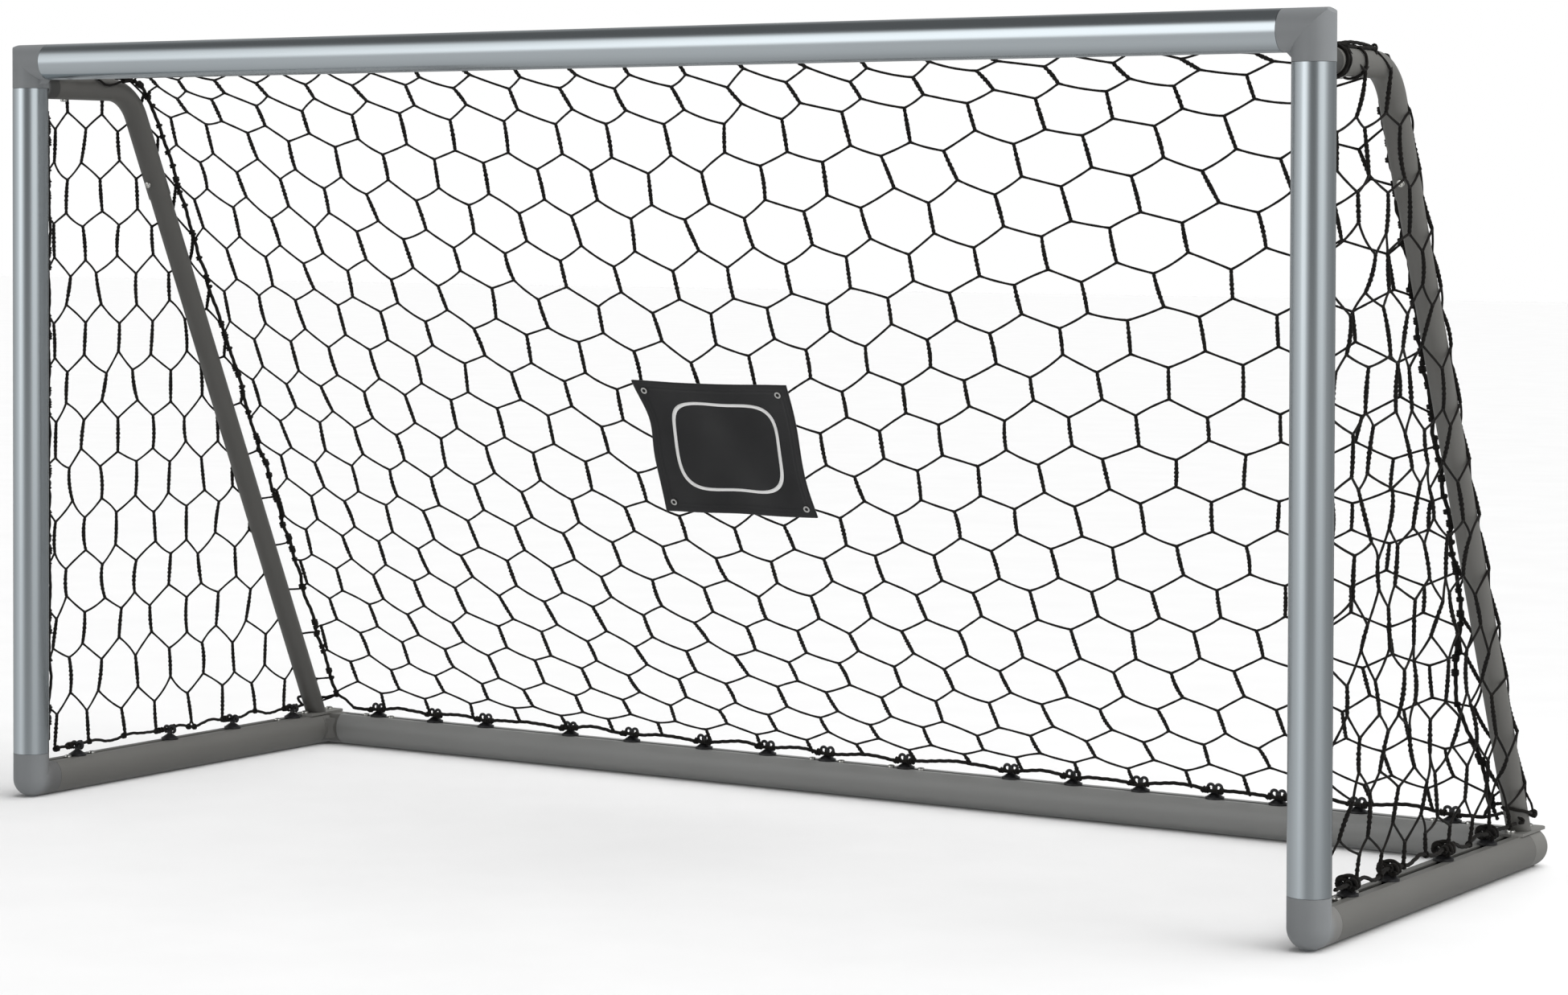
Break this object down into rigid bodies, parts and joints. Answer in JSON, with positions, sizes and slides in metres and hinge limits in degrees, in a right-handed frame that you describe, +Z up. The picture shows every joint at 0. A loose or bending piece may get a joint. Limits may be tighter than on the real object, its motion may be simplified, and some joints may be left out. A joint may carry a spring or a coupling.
{
  "type": "soccer goal frame",
  "caption": "Free-standing garden soccer goal: round metal posts and crossbar, ground frame, bent rear stays, clipped hexagon net and a small hung fabric panel.",
  "frame": {"origin": "on the ground at the centre of the footprint", "axes": "+X right as seen from the pitch, -Y is the goal mouth side, +Z up"},
  "size_m": [2.2, 0.816, 1.18],
  "materials": {
    "anodised_tube": "satin anodised",
    "grey_tube": "satin powder coat",
    "grey_moulding": "satin moulded",
    "inner_sleeve": "matte moulded",
    "zinc_screw": "bright zinc plated",
    "black_clip": "satin black nylon",
    "black_twine": "knotted polymer twine",
    "black_cloth": "woven, hemmed",
    "eyelet_metal": "rolled metal"
  },
  "bodies": {
    "root": {"banner_eyelets": "eyelet_metal", "bottom_left_corner": "grey_moulding", "bottom_right_corner": "grey_moulding", "crossbar_clips": "black_clip", "crossbar_hem_rope": "black_twine", "crossbar_left": "anodised_tube", "crossbar_right": "anodised_tube", "crossbar_splice": "inner_sleeve", "front_frame_screws": "zinc_screw", "ground_frame_screws": "zinc_screw", "left_corner_lashing": "black_twine", "left_ground_rail": "grey_tube", "left_net_seam": "black_twine", "left_post": "anodised_tube", "left_post_clips": "black_clip", "left_post_hem_rope": "black_twine", "left_rail_clips": "black_clip", "left_rail_hem_rope": "black_twine", "left_stay": "grey_tube", "left_stay_bend": "grey_tube", "left_stay_foot": "grey_tube", "net_back": "black_twine", "net_banner": "black_cloth", "net_left_side": "black_twine", "net_right_side": "black_twine", "net_roof": "black_twine", "rear_ground_rail_left": "grey_tube", "rear_ground_rail_right": "grey_tube", "rear_ground_splice": "inner_sleeve", "rear_left_corner": "grey_tube", "rear_rail_clips": "black_clip", "rear_rail_hem_rope": "black_twine", "rear_right_corner": "grey_tube", "right_corner_lashing": "black_twine", "right_ground_rail": "grey_tube", "right_net_seam": "black_twine", "right_post": "anodised_tube", "right_post_clips": "black_clip", "right_post_hem_rope": "black_twine", "right_rail_clips": "black_clip", "right_rail_hem_rope": "black_twine", "right_stay": "grey_tube", "right_stay_bend": "grey_tube", "right_stay_foot": "grey_tube", "stay_foot_bolts": "zinc_screw", "stay_joint_screws": "zinc_screw", "stay_socket_screws": "zinc_screw", "top_left_corner": "grey_moulding", "top_right_corner": "grey_moulding"}
  },
  "joints": []
}
